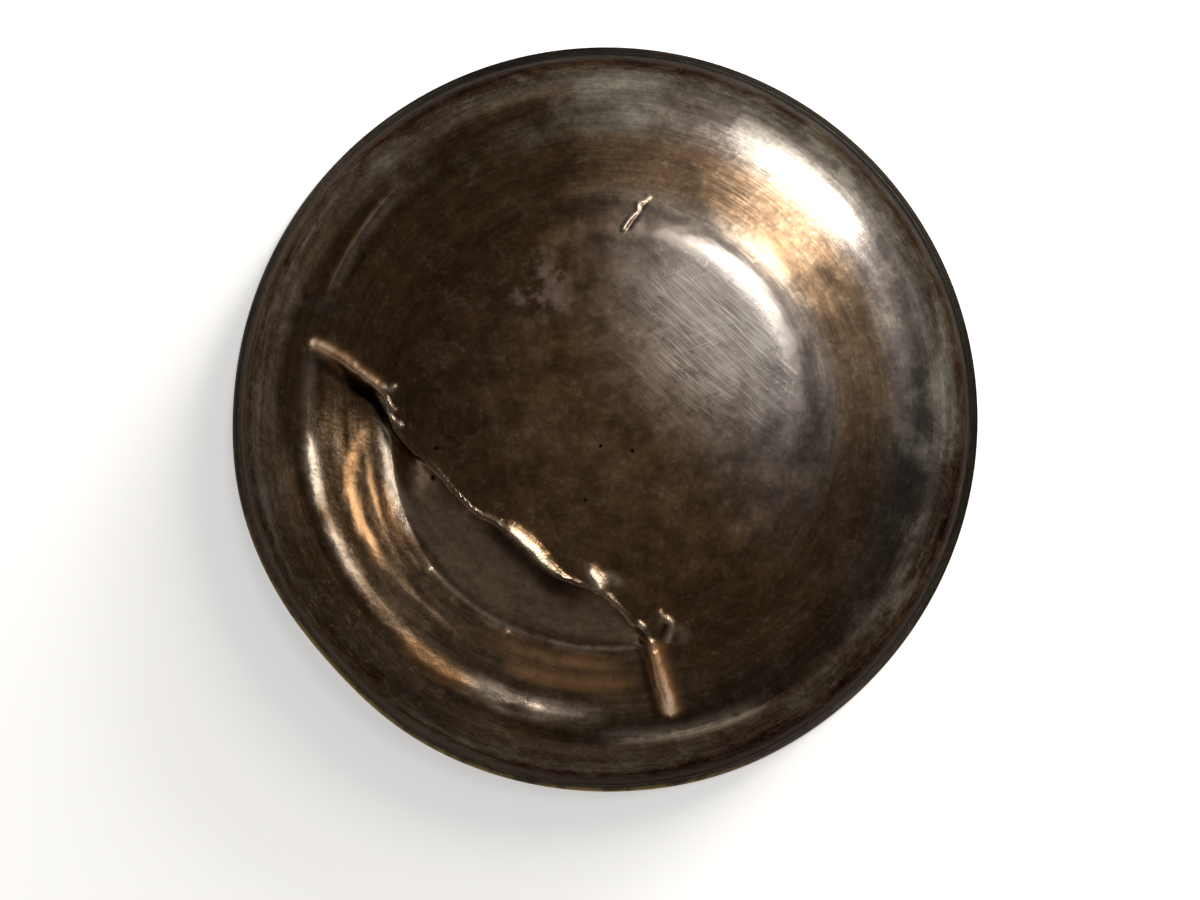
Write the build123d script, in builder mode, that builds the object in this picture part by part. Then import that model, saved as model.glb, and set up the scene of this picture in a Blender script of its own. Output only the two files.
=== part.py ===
from build123d import *
import math
import os

# Offering bowl raised from one sheet of metal, lying mouth down on its rim
# Millimetres, +Z up through the base, origin at the centre of the mouth

# The bowl's form: flat base, sloping shoulder, round turn and leaning wall
bowl_diameter = 150.0
bowl_height = 40.0
base_diameter = 80.0
slope_angle = 23.0
wall_lean = 10.0
base_corner_radius = 5.0
shoulder_radius = 26.0
sheet = 0.8

# Half-round wire soldered round the outside of the lip
wire_height = 2.4
wire_proud = 1.0
wire_round = 0.9
solder_leg = 0.5

# Crushed corner of the base: a straight crease, a valley, a ridge and two end steps
dent_azimuth = 229.0
dent_half_angle = 56.0
end_step_angle = 3.0
crease_distance = 26.6
crease_end_inset = 0.5
valley_radius = 43.0
valley_depth_west = 10.0
valley_depth_east = 4.0
ridge_radius = 57.5
dent_steps = 8

# How far cutting shapes reach past the faces they cut
cut_over = 1.0
clear_of_wall = 0.2

base_radius = base_diameter / 2
rim_radius = bowl_diameter / 2
lean = math.radians(wall_lean)
slope = math.radians(slope_angle)
lip_radius = rim_radius - wire_proud


def wall_radius(height, outset=0.0):
    """Radius of the leaning wall at a height, moved outwards by outset."""
    return lip_radius - height * math.tan(lean) + outset / math.cos(lean)


def slope_height(radius, inset=0.0):
    """Height of the sloping shoulder at a radius, moved inwards by inset."""
    return bowl_height - (radius - base_radius) * math.tan(slope) - inset / math.cos(slope)


def dent_outline(angle, valley_z, ridge_z, inset):
    """Corners, in a plane through the bowl's axis, of the space that the crush takes away."""
    crease_radius = min(
        crease_distance / math.cos(math.radians(angle)), base_radius - crease_end_inset
    )
    fall = (valley_z - bowl_height) / (valley_radius - crease_radius)
    rise = (ridge_z - valley_z) / (ridge_radius - valley_radius)
    fall_drop = inset * math.hypot(1, fall)
    rise_drop = inset * math.hypot(1, rise)
    meet_radius = valley_radius + (fall_drop - rise_drop) / (fall - rise)
    meet_z = valley_z + rise * (meet_radius - valley_radius) - rise_drop
    top_z = bowl_height + cut_over
    top_radius = crease_radius + (cut_over + fall_drop) / fall
    far_z = valley_z + rise * (lip_radius - valley_radius) - rise_drop
    return [(top_radius, top_z), (meet_radius, meet_z), (lip_radius, far_z), (lip_radius, top_z)]


def radial_plane(angle):
    """Plane through the bowl's axis, at an angle from the middle of the crush."""
    turn = math.radians(dent_azimuth + angle)
    return Plane(
        origin=(0, 0, 0),
        x_dir=(math.cos(turn), math.sin(turn), 0),
        z_dir=(math.sin(turn), -math.cos(turn), 0),
    )


def end_spread(valley_depth, inset):
    """Angle by which an end step moves outwards when the faces move inwards by inset."""
    step_height = slope_height(valley_radius) - (bowl_height - valley_depth)
    step_width = valley_radius * math.radians(end_step_angle)
    step_tilt = math.atan2(step_height, step_width)
    return math.degrees(inset * math.tan(step_tilt / 2) / valley_radius)


def dent_sections(inset):
    """Angle and outline of each section of the crush, from the west end step to the east one."""
    ridge_z = slope_height(ridge_radius)
    untouched = dent_outline(
        dent_half_angle, slope_height(valley_radius) + clear_of_wall, ridge_z + clear_of_wall, inset
    )
    west_end = -dent_half_angle - end_spread(valley_depth_west, inset)
    east_end = dent_half_angle + end_spread(valley_depth_east, inset)
    west_foot = west_end + end_step_angle
    east_foot = east_end - end_step_angle
    sections = [(west_end, untouched)]
    for step in range(2 * dent_steps + 1):
        share = step / (2 * dent_steps)
        angle = west_foot + (east_foot - west_foot) * share
        valley_z = bowl_height - valley_depth_west - (valley_depth_east - valley_depth_west) * share
        sections.append((angle, dent_outline(angle, valley_z, ridge_z, inset)))
    sections.append((east_end, untouched))
    return sections


def bowl_form(inset, mouth_z):
    """Solid that fills the crushed bowl down to mouth_z, with its faces moved inwards by inset."""
    top_z = bowl_height - inset
    corner_radius = base_radius - inset * math.tan(slope / 2)
    shoulder_r = wall_radius(slope_height(0, inset), -inset) / (1 - math.tan(lean) * math.tan(slope))
    with BuildPart() as form:
        with BuildSketch(Plane.XZ):
            with BuildLine():
                FilletPolyline(
                    (0, top_z),
                    (corner_radius, top_z),
                    (shoulder_r, slope_height(shoulder_r, inset)),
                    (wall_radius(mouth_z, -inset), mouth_z),
                    radius=[base_corner_radius - inset, shoulder_radius - inset],
                )
                Polyline((wall_radius(mouth_z, -inset), mouth_z), (0, mouth_z), (0, top_z))
            make_face()
        revolve(axis=Axis.Z)
        for angle, outline in dent_sections(inset):
            with BuildSketch(radial_plane(angle)):
                Polygon(*outline, align=None)
        loft(ruled=True, mode=Mode.SUBTRACT)
    return form.part


os.makedirs("parts", exist_ok=True)
outer_form = bowl_form(0, 0)
inner_form = bowl_form(sheet, -cut_over)
wire_foot = (wall_radius(0), 0)
wire_top = (wall_radius(wire_height), wire_height)
solder_foot = (wire_top[0] + solder_leg, wire_height)
solder_top = (wall_radius(wire_height + solder_leg), wire_height + solder_leg)

# Bowl: one sheet of even thickness, base and wall in one, with the crushed corner
with BuildPart() as bowl_shell:
    add(outer_form)
    add(inner_form, mode=Mode.SUBTRACT)
bowl_shell.part.label = "bowl_shell"
export_step(bowl_shell.part, "parts/bowl_shell.step")

# Rim wire: flat on the wall and under the mouth, rounded above
with BuildPart() as rim_wire:
    with BuildSketch(Plane.XZ):
        with BuildLine():
            FilletPolyline(
                wire_foot, (rim_radius, 0), (rim_radius, wire_height), wire_top, radius=[0, wire_round]
            )
            Line(wire_top, wire_foot)
        make_face()
    revolve(axis=Axis.Z)
rim_wire.part.label = "rim_wire"
export_step(rim_wire.part, "parts/rim_wire.step")

# Rim solder: the fillet in the corner between the wire's top and the wall
with BuildPart() as rim_solder:
    with BuildSketch(Plane.XZ):
        Polygon(wire_top, solder_foot, solder_top, align=None)
    revolve(axis=Axis.Z)
rim_solder.part.label = "rim_solder"
export_step(rim_solder.part, "parts/rim_solder.step")
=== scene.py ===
import math
from types import SimpleNamespace

import bmesh
import bpy
import numpy as np
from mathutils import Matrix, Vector


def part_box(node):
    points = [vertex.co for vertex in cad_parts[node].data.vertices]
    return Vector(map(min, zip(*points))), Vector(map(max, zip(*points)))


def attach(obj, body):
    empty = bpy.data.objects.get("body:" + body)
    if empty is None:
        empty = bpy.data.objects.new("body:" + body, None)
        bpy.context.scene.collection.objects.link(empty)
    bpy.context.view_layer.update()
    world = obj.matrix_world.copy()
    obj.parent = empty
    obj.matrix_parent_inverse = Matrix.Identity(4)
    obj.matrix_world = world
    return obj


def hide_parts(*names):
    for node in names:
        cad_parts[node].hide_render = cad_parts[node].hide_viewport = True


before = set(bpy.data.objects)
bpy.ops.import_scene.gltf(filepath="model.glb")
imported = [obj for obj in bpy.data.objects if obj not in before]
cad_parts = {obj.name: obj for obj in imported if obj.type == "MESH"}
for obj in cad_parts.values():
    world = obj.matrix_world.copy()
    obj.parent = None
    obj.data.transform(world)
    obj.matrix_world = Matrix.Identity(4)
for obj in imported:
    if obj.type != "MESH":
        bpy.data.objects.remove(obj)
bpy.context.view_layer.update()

# Offering bowl of tarnished metal, lying mouth down, with a crushed corner of its base.
# Shapes are worked out in millimetres, and the finished pieces are in metres
MM = 0.001

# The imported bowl's own sizes
shell_low, shell_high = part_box("bowl_shell")
wire_low, wire_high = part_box("rim_wire")
solder_low, solder_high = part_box("rim_solder")
BOWL_HEIGHT = (shell_high.z - shell_low.z) / MM
RIM_RADIUS = (wire_high.x - wire_low.x) / 2 / MM
WIRE_HEIGHT = wire_high.z / MM
SOLDER_LEG = (solder_high.z - solder_low.z) / MM

# The bowl's outline: flat base, sloping shoulder, round turn and leaning wall
WIRE_PROUD = 1.0
LIP_RADIUS = RIM_RADIUS - WIRE_PROUD
BASE_RADIUS = 40.0
SLOPE = math.radians(23)
LEAN = math.radians(10)
CORNER_ROUND = 30.0
SHOULDER_ROUND = 26.0
SHEET = 0.8

# Spacing of the rings along the outline: distance from the axis at which it begins, step
OUTER_RINGS = [(0.0, 1.5), (24.0, 0.34), (63.0, 1.3)]
INNER_RINGS = [(0.0, 3.0), (21.0, 1.7), (37.0, 0.85), (48.0, 1.7), (64.0, 3.0)]

# Sectors of the bowl: degrees, steps. The steps are close at the dent and at the crack
FIRST_AZIMUTH = 158.0
SECTORS = [(140.0, 320), (132.0, 66), (22.0, 44), (66.0, 33)]
MERGE_DISTANCE = 0.0005

# Rings of wire and solder: steps round the bowl, roundings of the wire with their segments
RING_STEPS = 240
WIRE_TOP_ROUND, WIRE_TOP_SEGMENTS = 0.9, 6
WIRE_FOOT_ROUND, WIRE_FOOT_SEGMENTS = 0.3, 3
SOLDER_ARC_STEPS = 5
RING_TOLERANCE = 0.01

# Places this near the dent's edge are moved onto it, and the edge's direction is probed this far
SNAP_REACH = 0.17
EDGE_PROBE = 0.02

# The inner face takes the lowest height this far round it, which keeps it clear of the outer face
INNER_CLEARANCE = 0.6

# The crush moves nothing below this height
CRUSH_LOWEST = BOWL_HEIGHT * 0.5

# Edge of the dent, from the west crease along the chord to the east crease
# x, y, height of the ridge, half width of the ridge, width of the step inside, drop of the step, rub, which
# is partly a painted highlight
EDGE_VALUES = ("ridge", "ridge_width", "step", "drop", "rub")
DENT_EDGE = [
    (-55.6, 13.8, 1.3, 1.1, 2.4, 0.0, 1.0),
    (-50.8, 11.4, 1.0, 1.05, 2.8, 0.0, 0.4),
    (-46.1, 7.9, 0.8, 0.95, 2.8, 0.0, 0.6),
    (-42.0, 4.3, 0.4, 0.7, 2.4, 0.0, 0.4),
    (-39.5, -2.4, 0.05, 0.4, 1.4, 0.0, 0.15),
    (-32.3, -9.6, 0.06, 0.35, 0.5, 0.1, 0.25),
    (-25.6, -17.0, 0.14, 0.35, 0.5, 0.3, 0.5),
    (-20.3, -20.2, 0.3, 0.7, 0.5, 0.7, 0.35),
    (-18.0, -21.9, 0.6, 1.1, 0.5, 0.9, 0.6),
    (-13.7, -25.8, 0.8, 1.25, 0.5, 1.0, 0.7),
    (-9.6, -29.5, 0.32, 0.7, 0.5, 0.9, 0.5),
    (-3.9, -31.8, 0.12, 0.4, 0.5, 0.5, 0.3),
    (-0.6, -33.0, 0.25, 0.5, 0.5, 0.4, 0.4),
    (5.0, -38.2, 0.08, 0.4, 0.6, 0.3, 0.25),
    (7.6, -40.8, 0.2, 0.6, 1.4, 0.0, 0.25),
    (8.9, -44.7, 0.8, 1.0, 1.9, 0.0, 0.3),
    (10.2, -50.0, 1.3, 1.2, 2.2, 0.0, 0.5),
    (11.9, -56.0, 1.7, 1.4, 2.2, 0.0, 0.9),
]
EDGE_WIGGLE, EDGE_WIGGLE_LENGTH = 0.12, 6.0
EDGE_EASE, EDGE_EASE_SHARE = 0.3, 0.8
NEVER_ZERO = 1e-6
STEP_SPREAD = 1.5
DROP_WIDTH = 3.4

# The dent's azimuths, and the radii between which the ridges of its two end creases fade in
DENT_FIRST, DENT_MIDDLE, DENT_LAST = 165.0, 229.0, 284.0
WEST_CREASE_END = (59.5, 55.5)
EAST_CREASE_END = (58.8, 54.2)
RIDGE_INNER_SIDE, RIDGE_OUTER_SIDE = 0.75, 1.1

# Along the dent: azimuth, valley's height and radius, ridge's lift over the old shoulder, curb on it,
# first rise past the valley
COURSE_VALUES = ("valley", "valley_radius", "lift", "curb", "first_rise")
DENT_COURSE = [
    (150.0, 35.0, 42.0, 0.0, 0.0, 1.6),
    (166.0, 34.2, 41.5, -0.2, 0.1, 1.6),
    (174.0, 31.8, 41.4, -0.3, 0.2, 1.6),
    (181.0, 30.3, 41.4, 0.0, 0.3, 1.7),
    (188.0, 30.5, 41.4, 0.5, 0.4, 1.7),
    (196.0, 31.2, 41.7, 1.2, 0.4, 1.7),
    (208.0, 32.3, 42.5, 1.8, 0.4, 1.0),
    (222.0, 32.9, 43.4, 1.5, 0.4, 0.0),
    (236.0, 33.3, 43.6, 0.9, 0.5, -0.6),
    (252.0, 33.9, 43.6, 0.4, 0.8, -1.2),
    (268.0, 35.2, 43.6, 0.1, 0.3, -2.0),
    (284.0, 36.5, 43.6, 0.0, 0.2, -3.0),
    (290.0, 36.6, 43.6, 0.0, 0.0, -3.0),
]
RIDGE_RADIUS = 58.3
RIDGE_ROUND = 2.4
RIDGE_REACH = 7.0
CURB_WIDTH = 1.8
CURB_EVEN, CURB_WAVE, CURB_WAVE_LENGTH, CURB_STRETCH = 0.7, 0.4, 3.0, 3.0

# Steps of the gutter's west end, from the valley up to the ridge:
# radius at the west end and further on, half width, rise, first and last azimuth, inward bend
GUTTER_STEPS = [
    (42.8, 43.6, 1.8, 0.5, 172.0, 220.0, 0.3),
    (46.0, 47.5, 0.8, 0.25, 186.0, 218.0, 0.4),
    (50.6, 51.2, 1.7, 0.8, 179.0, 218.0, 1.0),
    (57.3, 56.2, 1.7, 1.2, 180.0, 230.0, 0.0),
]
STEPS_FIRST_AZIMUTH, STEPS_SPAN = 183.0, 30.0
STEP_FADE_IN, STEP_FADE_OUT = 16.0, 14.0
STEP_WANDER, STEP_WANDER_LENGTH = 0.5, 14.0
GUTTER_EVEN_RISE = 0.6

# Past these azimuths the steps give way to an even strip, and the ripples on it keep to this share of it
STEPS_TO_STRIP = (206.0, 228.0)
RIPPLED_SHARE = (0.0, 0.1, 0.7, 0.95)
RIPPLE_HEIGHT, RIPPLE_LENGTH, RIPPLE_SLANT = 0.03, 3.3, 9.0

# Lines along the gutter bend inwards before this azimuth, by this many millimetres per square degree
WEST_BEND_AZIMUTH, WEST_BEND = 199.0, 0.0175

# Unevenness of the crushed metal: height and length of the waves
STREAK_HEIGHT, STREAK_LENGTH, STREAK_STRETCH = 0.045, 5.5, 5.0
LENS_HEIGHT, LENS_LENGTH = 0.03, 11.0

# Waves that add up to unevenness: direction in radians, how much finer, shift
UNEVEN_WAVES = [(0.3, 1.0, 0.0), (1.4, 1.31, 2.1), (2.5, 0.83, 4.4), (0.9, 1.73, 1.0), (2.0, 2.2, 3.3)]
WAVE_BEND, WAVE_BEND_RATE, WAVE_LEVEL = 1.4, 3.9, 3.0

# Streaks rubbed along the gutter, pale and golden partly as painted highlights where the lamps reflect:
# radius, half width, first and last azimuth, inward bend, rub, gold
GUTTER_STREAKS = [
    (42.9, 1.3, 177.0, 214.0, 0.2, 0.75, 0.0),
    (45.0, 1.5, 194.0, 216.0, 0.2, 0.0, 0.3),
    (46.8, 0.6, 189.0, 210.0, 0.4, 0.1, 0.45),
    (51.0, 1.2, 181.0, 217.0, 1.0, 0.1, 0.5),
    (57.4, 1.6, 163.0, 187.0, 0.0, 0.2, 0.0),
    (57.0, 1.3, 180.0, 200.0, 0.0, 1.0, 0.0),
    (56.7, 1.1, 198.0, 218.0, 0.0, 0.5, 0.0),
    (57.4, 1.4, 224.0, 247.0, 0.0, 0.0, 0.45),
    (56.8, 1.9, 240.0, 272.0, 0.0, 0.9, 0.0),
    (43.9, 0.45, 218.0, 284.0, 0.0, 0.5, 0.0),
    (50.5, 2.0, 246.0, 280.0, 0.0, 0.0, 0.45),
    (47.0, 1.5, 240.0, 278.0, 0.0, 0.0, 0.4),
]
STREAK_FADE_IN, STREAK_FADE_OUT = 7.0, 9.0
STREAK_CLEAR_OF_EDGE = (0.5, 2.0)

# Faint ridges along arcs, and the rubbing on them, which is partly a painted highlight: height or rub, first
# and last azimuth, radius at each, half width
ARC_RIDGES = [(0.5, 128.0, 162.0, 59.0, 57.2, 1.1), (0.6, 268.0, 302.0, 60.2, 62.6, 1.4)]
ARC_RUBS = [(0.25, 128.0, 162.0, 58.6, 56.8, 1.1), (0.4, 266.0, 302.0, 60.8, 62.4, 1.2)]
ARC_FADE = 8.0

# Small marks: x, y and half width of pimples, pits and coppery spots, height of the pimples
PIMPLES = [(-33.9, -29.2, 0.9, 0.25), (-19.0, -41.1, 0.9, 0.22)]
PIMPLE_RUB = 0.3
PITS = [
    (-32.7, -11.4, 0.5),
    (-32.0, -5.8, 0.36),
    (-1.0, -5.4, 0.38),
    (5.0, -6.3, 0.38),
    (-3.9, -15.6, 0.3),
]
PIT_SOFTNESS = 0.6
COPPERY_SPOTS = [(-6.0, -34.0, 3.0), (-10.0, -32.0, 2.4), (-31.0, -14.0, 3.0)]

# Small folds, flaps and splits: height, half width, rub, painted shade in the split, points
MINOR_CREASES = [
    (0.35, 0.4, 0.5, 0.0, [(-43.3, 4.4), (-42.2, 2.4), (-40.6, 0.4), (-38.8, -1.6)]),
    (0.25, 0.5, 0.35, 0.0, [(-41.6, 3.4), (-40.9, 2.2), (-40.1, 1.4)]),
    (-0.5, 0.45, 0.0, 0.8, [(-42.3, 3.9), (-41.4, 1.9), (-39.6, -0.3)]),
    (0.35, 0.6, 0.4, 0.0, [(-42.3, 5.9), (-40.9, 5.2), (-40.2, 5.8)]),
    (0.6, 0.95, 0.6, 0.0, [(-2.9, -29.5), (-2.0, -30.8), (-1.2, -32.0)]),
    (0.08, 1.2, 0.3, 0.0, [(-0.8, -30.4), (0.6, -30.4), (1.9, -31.2)]),
    (0.3, 0.5, 0.25, 0.0, [(10.2, -37.0), (10.6, -37.8), (10.3, -38.6)]),
    (0.45, 0.55, 0.45, 0.0, [(11.6, -38.2), (12.3, -39.0), (12.2, -40.4), (11.6, -42.0)]),
    (-0.45, 0.45, 0.0, 0.9, [(11.4, -39.2), (10.8, -40.6), (9.9, -42.4), (9.3, -44.0)]),
    (0.2, 0.9, 0.25, 0.0, [(13.4, -40.2), (14.8, -40.8), (14.6, -41.8)]),
    (-0.45, 0.6, 0.0, 0.8, [(5.8, -39.9), (7.6, -41.2), (9.0, -41.8)]),
    (0.3, 0.4, 0.7, 0.0, [(6.3, -38.9), (7.2, -39.6)]),
    (0.12, 0.27, 0.35, 0.0, [(3.2, 35.5), (4.2, 37.0), (5.2, 38.2), (5.9, 38.7)]),
    (0.15, 0.31, 0.45, 0.0, [(6.1, 39.1), (6.1, 40.5), (7.2, 41.0), (8.2, 41.7)]),
    (-0.1, 0.36, 0.0, 0.6, [(4.3, 35.9), (5.3, 37.3), (6.4, 38.9), (7.4, 40.2)]),
]

# How far the rim is out of round: azimuth, half width in degrees, millimetres
RIM_BUMPS = [(222.0, 12.0, -0.75), (192.0, 12.0, 0.45), (290.0, 14.0, 0.3)]
RIM_BUMP_TOP = 26.0

# Where the sheet is worn, and where painted shade lies: radii in millimetres, azimuths in degrees, distances
# inside the dent's edge.
# Two values are where it begins and is full, or all that it spans, and four also where it fades and ends
WEAR_END = (59.5, 57.0)
RUB_OUTSIDE, RUB_WIDTH = 0.4, 0.7
# Painted shade below the dent's edge: its azimuths, and its strength, reach and fade at the end creases and
# the chord
SHADED_AZIMUTHS = (160.0, 290.0)
END_STEP_SHADE, END_STEP_WIDTHS, END_SHADE_START, END_SHADE_FADE = 0.8, (0.8, 1.6), (-0.1, 0.5), 1.6
CHORD_STEP_SHADE, CHORD_DROPS, CHORD_SHADE_REACH = 0.9, (0.25, 0.8), (-0.1, 0.4, 2.2, 4.8)
COPPERY_INSIDE = (0.0, 1.0)
CREASED_RIDGES, RIDGE_DINT_WIDTH = (0.15, 0.6), 1.6
CREASED_FOLDS, FOLD_DINT_WIDTH, FOLD_DINTS = (0.05, 0.4), 1.8, 0.8
GUTTER_RADII, GUTTER_INSIDE = (40.5, 43.0, 59.0, 62.0), (0.0, 2.0)
WEST_GUTTER_AZIMUTHS, WEST_GUTTER_DINTS = (164.0, 178.0, 206.0, 226.0), 0.55
RIDGE_BAND_AZIMUTHS, RIDGE_BAND_DINTS = (170.0, 190.0, 258.0, 276.0), 0.8
RIDGE_BAND_RADIUS, RIDGE_BAND_WIDTH = 57.6, 2.4
BARED_INSIDE, BARED_END = (0.0, 2.5), (56.0, 58.5)
BARED_LENS_RADIUS, BARED_GUTTER_AZIMUTHS, BARED_LEAST = 42.0, (198.0, 226.0), 0.2

# Golden end creases, east and west, partly painted warm highlights: gold, distance outside the edge, half
# width, radii, azimuths
GOLDEN_CREASES = [
    (0.95, 0.9, 1.5, (42.0, 46.0), (270.0, 300.0)),
    (0.6, 0.6, 1.1, (41.0, 44.0), (155.0, 177.0)),
]

# Patterns in the finishes: scale per metre, detail, roughness, distortion
CLOUDS = (52.0, 6.0, 0.65, 0.8)
HAZE = (52.0, 6.0, 0.62, 0.5)
WISPS = (75.0, 5.0, 0.6, 2.2)
WAVES = (150.0, 1.5, 0.5)
MOTTLE = (170.0, 6.0, 0.65)
FLECKS = (480.0, 4.0, 0.65)
GRAIN = (1100.0, 3.0, 0.6)
WIRE_MOTTLE = (190.0, 6.0, 0.65)
SOLDER_LUMPS = (420.0, 4.0, 0.6)
SOLDER_GRAIN = (2400.0, 3.0, 0.6)

# Patterns drawn out round the bowl: scale round it, and per metre across
WIDE_STREAKS = (2.2, 330.0)
FINE_STREAKS = (5.0, 1500.0)
DRAWN_LINES = (9.0, 1800.0)

# Sides of the bowl that differ in tone, as directions from its axis
LIGHT_SIDE = (0.67, 0.74, 0.0)
# Side towards the lamps, where the base gets a painted sheen of cool grey
PAINTED_SHEEN_SIDE = (0.87, 0.5, 0.0)
NORTH_SIDE = (-0.2, 0.98, 0.0)
WEST_SIDE = (-0.94, 0.34, 0.0)
DARK_SIDE = (0.71, -0.71, 0.0)
DENT_SIDE = (-0.743, -0.669, 0.0)
WORN_RIM_SIDE = (-0.45, -0.89, 0.0)

# Tones of the sheet's tarnish, and of painted shade, sheen and light
BROWN, PALER_BROWN = (0.13, 0.071, 0.033), (0.172, 0.101, 0.051)
# Darker brown laid on the side of the base away from the light: painted shade
PAINTED_SHADE_BROWN = (0.085, 0.048, 0.022)
WEST_BROWN = (0.05, 0.03, 0.016)
# Paler cool grey laid on the side of the base towards the light: painted sheen
PAINTED_SHEEN_GREY = (0.22, 0.195, 0.18)
SHOULDER_BROWN = (0.125, 0.072, 0.033)
# Wall tones for its sides away from and towards the light: painted light and shade
WALL_PAINTED_FAR_SIDE, WALL_PAINTED_LIT_SIDE = (0.052, 0.039, 0.03), (0.048, 0.042, 0.036)
TURN_GREY, TURN_NORTH = (0.085, 0.078, 0.071), (0.05, 0.043, 0.039)
# Lip tones, dark towards the light and paler away from it: painted light standing in for the mirrored floor
LIP_PAINTED_LIT_SIDE, LIP_PAINTED_FAR_SIDE = (0.02, 0.018, 0.016), (0.1, 0.08, 0.064)
# Dark tone for the stain in the south-east, and for the painted shade on the wall behind the dent
DARK_STAIN_AND_SHADE = (0.022, 0.017, 0.014)
# Pale grey of the shoulder's haze, laid most thickly towards the light: partly real haze, partly painted
# sheen
HAZE_AND_SHEEN_GREY = (0.19, 0.175, 0.145)
WISP_GREY = (0.24, 0.195, 0.165)
PINK_STAIN = (0.24, 0.16, 0.125)

# Tones of one side of the bowl: the side, the turn towards it at which the tone begins and is full,
# the radii between which it comes in, its strength and the tone. The first row is painted shade on the
# side away from the light, and the last row is a painted sheen on the side towards it
SIDE_TONES = [
    (LIGHT_SIDE, (0.3, -0.8), (8.0, 30.0), 0.45, PAINTED_SHADE_BROWN),
    (WEST_SIDE, (0.2, 0.9), (12.0, 30.0), 0.5, WEST_BROWN),
    (PAINTED_SHEEN_SIDE, (0.2, 0.95), (12.0, 34.0), 0.8, PAINTED_SHEEN_GREY),
]
DARK_SIDE_STAIN = (DARK_SIDE, (0.3, 0.95), (50.0, 60.0), 0.6, DARK_STAIN_AND_SHADE)

# Pink spot on the base: x, y, size, softness
PINK_SPOT = (-12.0, 24.0, 5.5, 3.0)

# Tones of bared, rubbed and stained metal, with painted light among them: the lens's paler tone, the
# patch's sheen, the scratches' glints, the rubbed and golden highlights, and the shade at steps, splits and
# pits
BARED_GUTTER, BARED_STREAK = (0.13, 0.084, 0.052), (0.21, 0.142, 0.086)
# Pale tone of the lens: partly bared metal, partly painted light where its steep slope mirrors the bright
# floor
BARED_LENS_WITH_PAINTED_LIGHT = (0.325, 0.235, 0.158)
# Pale grey of the polished patch, which lies where the lamps reflect: partly polish, partly painted sheen
POLISHED_AND_SHEEN = (0.44, 0.4, 0.37)
# Near white of the scratches, laid on fully only where the lamps reflect: partly bright scratches, partly
# painted glints
SCRATCHED_AND_GLINTING = (0.8, 0.77, 0.73)
# Pale rubbed metal: partly wear, partly painted highlights of the white lamps
RUBBED_AND_HIGHLIGHT = (0.8, 0.66, 0.52)
# Golden metal, partly a painted warm highlight of the warm lamp
GOLDEN_AND_WARM_HIGHLIGHT = (0.9, 0.46, 0.19)
COPPERY = (0.13, 0.055, 0.03)
# Near black for the painted shade at the steps and in the splits
PAINTED_CREASE_SHADE = (0.026, 0.013, 0.008)
# Black painted into the pits, which the mesh does not hollow: painted shade
PAINTED_PIT_SHADE = (0.006, 0.004, 0.003)

# Polished patch of the base: x, y, size, softness. Its scratches: direction in degrees, length, width,
# and the pattern's value at which they begin
POLISHED_SPOT = (24.0, 18.0, 12.0, 20.0)
SCRATCHES = [
    (41.0, 14.0, 0.13, 0.645),
    (36.0, 10.0, 0.12, 0.645),
    (45.0, 18.0, 0.14, 0.665),
    (50.0, 8.0, 0.12, 0.66),
    (-20.0, 14.0, 0.15, 0.69),
]
SCRATCH_SOFTNESS = 0.04
STRAY_SCRATCHES = 0.02

# Tones of the wire and the solder, and how much the painted shading makes them darker towards the light
# and paler away from it
WIRE_BROWN, WIRE_PALER = (0.055, 0.045, 0.037), (0.09, 0.073, 0.058)
WIRE_YELLOW = (0.5, 0.37, 0.16)
SOLDER_GREY, SOLDER_PALER = (0.055, 0.047, 0.04), (0.09, 0.08, 0.068)
RIM_SHADE = (-0.2, 0.55, 1.7, 0.3)

# Tint of the metal's edge-on reflections, and depth of the relief in metres
GRAZING_TINT = (0.3, 0.26, 0.22, 1.0)
SHEET_RELIEF, WIRE_RELIEF, SOLDER_RELIEF = 0.00004, 0.00005, 0.00008

# Floor and surroundings, in metres
FLOOR_HALF_SIZE, FLOOR_DROP = 3.0, 0.0003
FLOOR_COLOUR, FLOOR_ROUGHNESS, FLOOR_GLOW = (0.86, 0.86, 0.86, 1.0), 0.8, 0.45
SURROUNDINGS, SURROUNDINGS_STRENGTH = (1.0, 0.95, 0.9, 1.0), 0.17

# Softboxes: name, azimuth, angle from the zenith, distance, width, height, radiance, colour
WHITE, WARM = (1.0, 0.985, 0.96), (1.0, 0.93, 0.76)
SOFTBOXES = [
    ("high_softbox", 48.0, 18.0, 0.9, 0.045, 0.13, 50.0, WHITE),
    ("middle_softbox", 46.0, 42.5, 0.9, 0.13, 0.23, 23.0, WARM),
    ("low_softbox", 49.0, 67.5, 0.9, 0.34, 0.4, 18.0, WHITE),
    ("fill_softbox", 46.0, 55.0, 1.6, 2.2, 1.6, 0.5, WHITE),
]

# Camera straight above the base: place in metres, focal length in millimetres
CAMERA_PLACE = (-0.00112, -0.00617, 0.6)
CAMERA_LENS = 89.1


def smooth(low, high, value):
    """Share, from 0 to 1, of the way from low to high, eased at both ends."""
    share = np.clip((value - low) / (high - low), 0.0, 1.0)
    return share * share * (3 - 2 * share)


def band(value, first, full, fading, last):
    """Share that rises from 0 at first to 1 at full, and falls from 1 at fading to 0 at last."""
    return smooth(first, full, value) * (1 - smooth(fading, last, value))


def between(value, first, last):
    """Whether each value is between first and last."""
    return (value > first) & (value < last)


def hump(distance, half_width):
    """Bell that is 1 at distance 0 and fades past the half width."""
    return np.exp(-((distance / half_width) ** 2))


def lower_of(a, b, round_over):
    """The lower of two heights, with the corner between them rounded."""
    share = np.clip(0.5 + (b - a) / (2 * round_over), 0.0, 1.0)
    return b + (a - b) * share - round_over * share * (1 - share)


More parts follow.
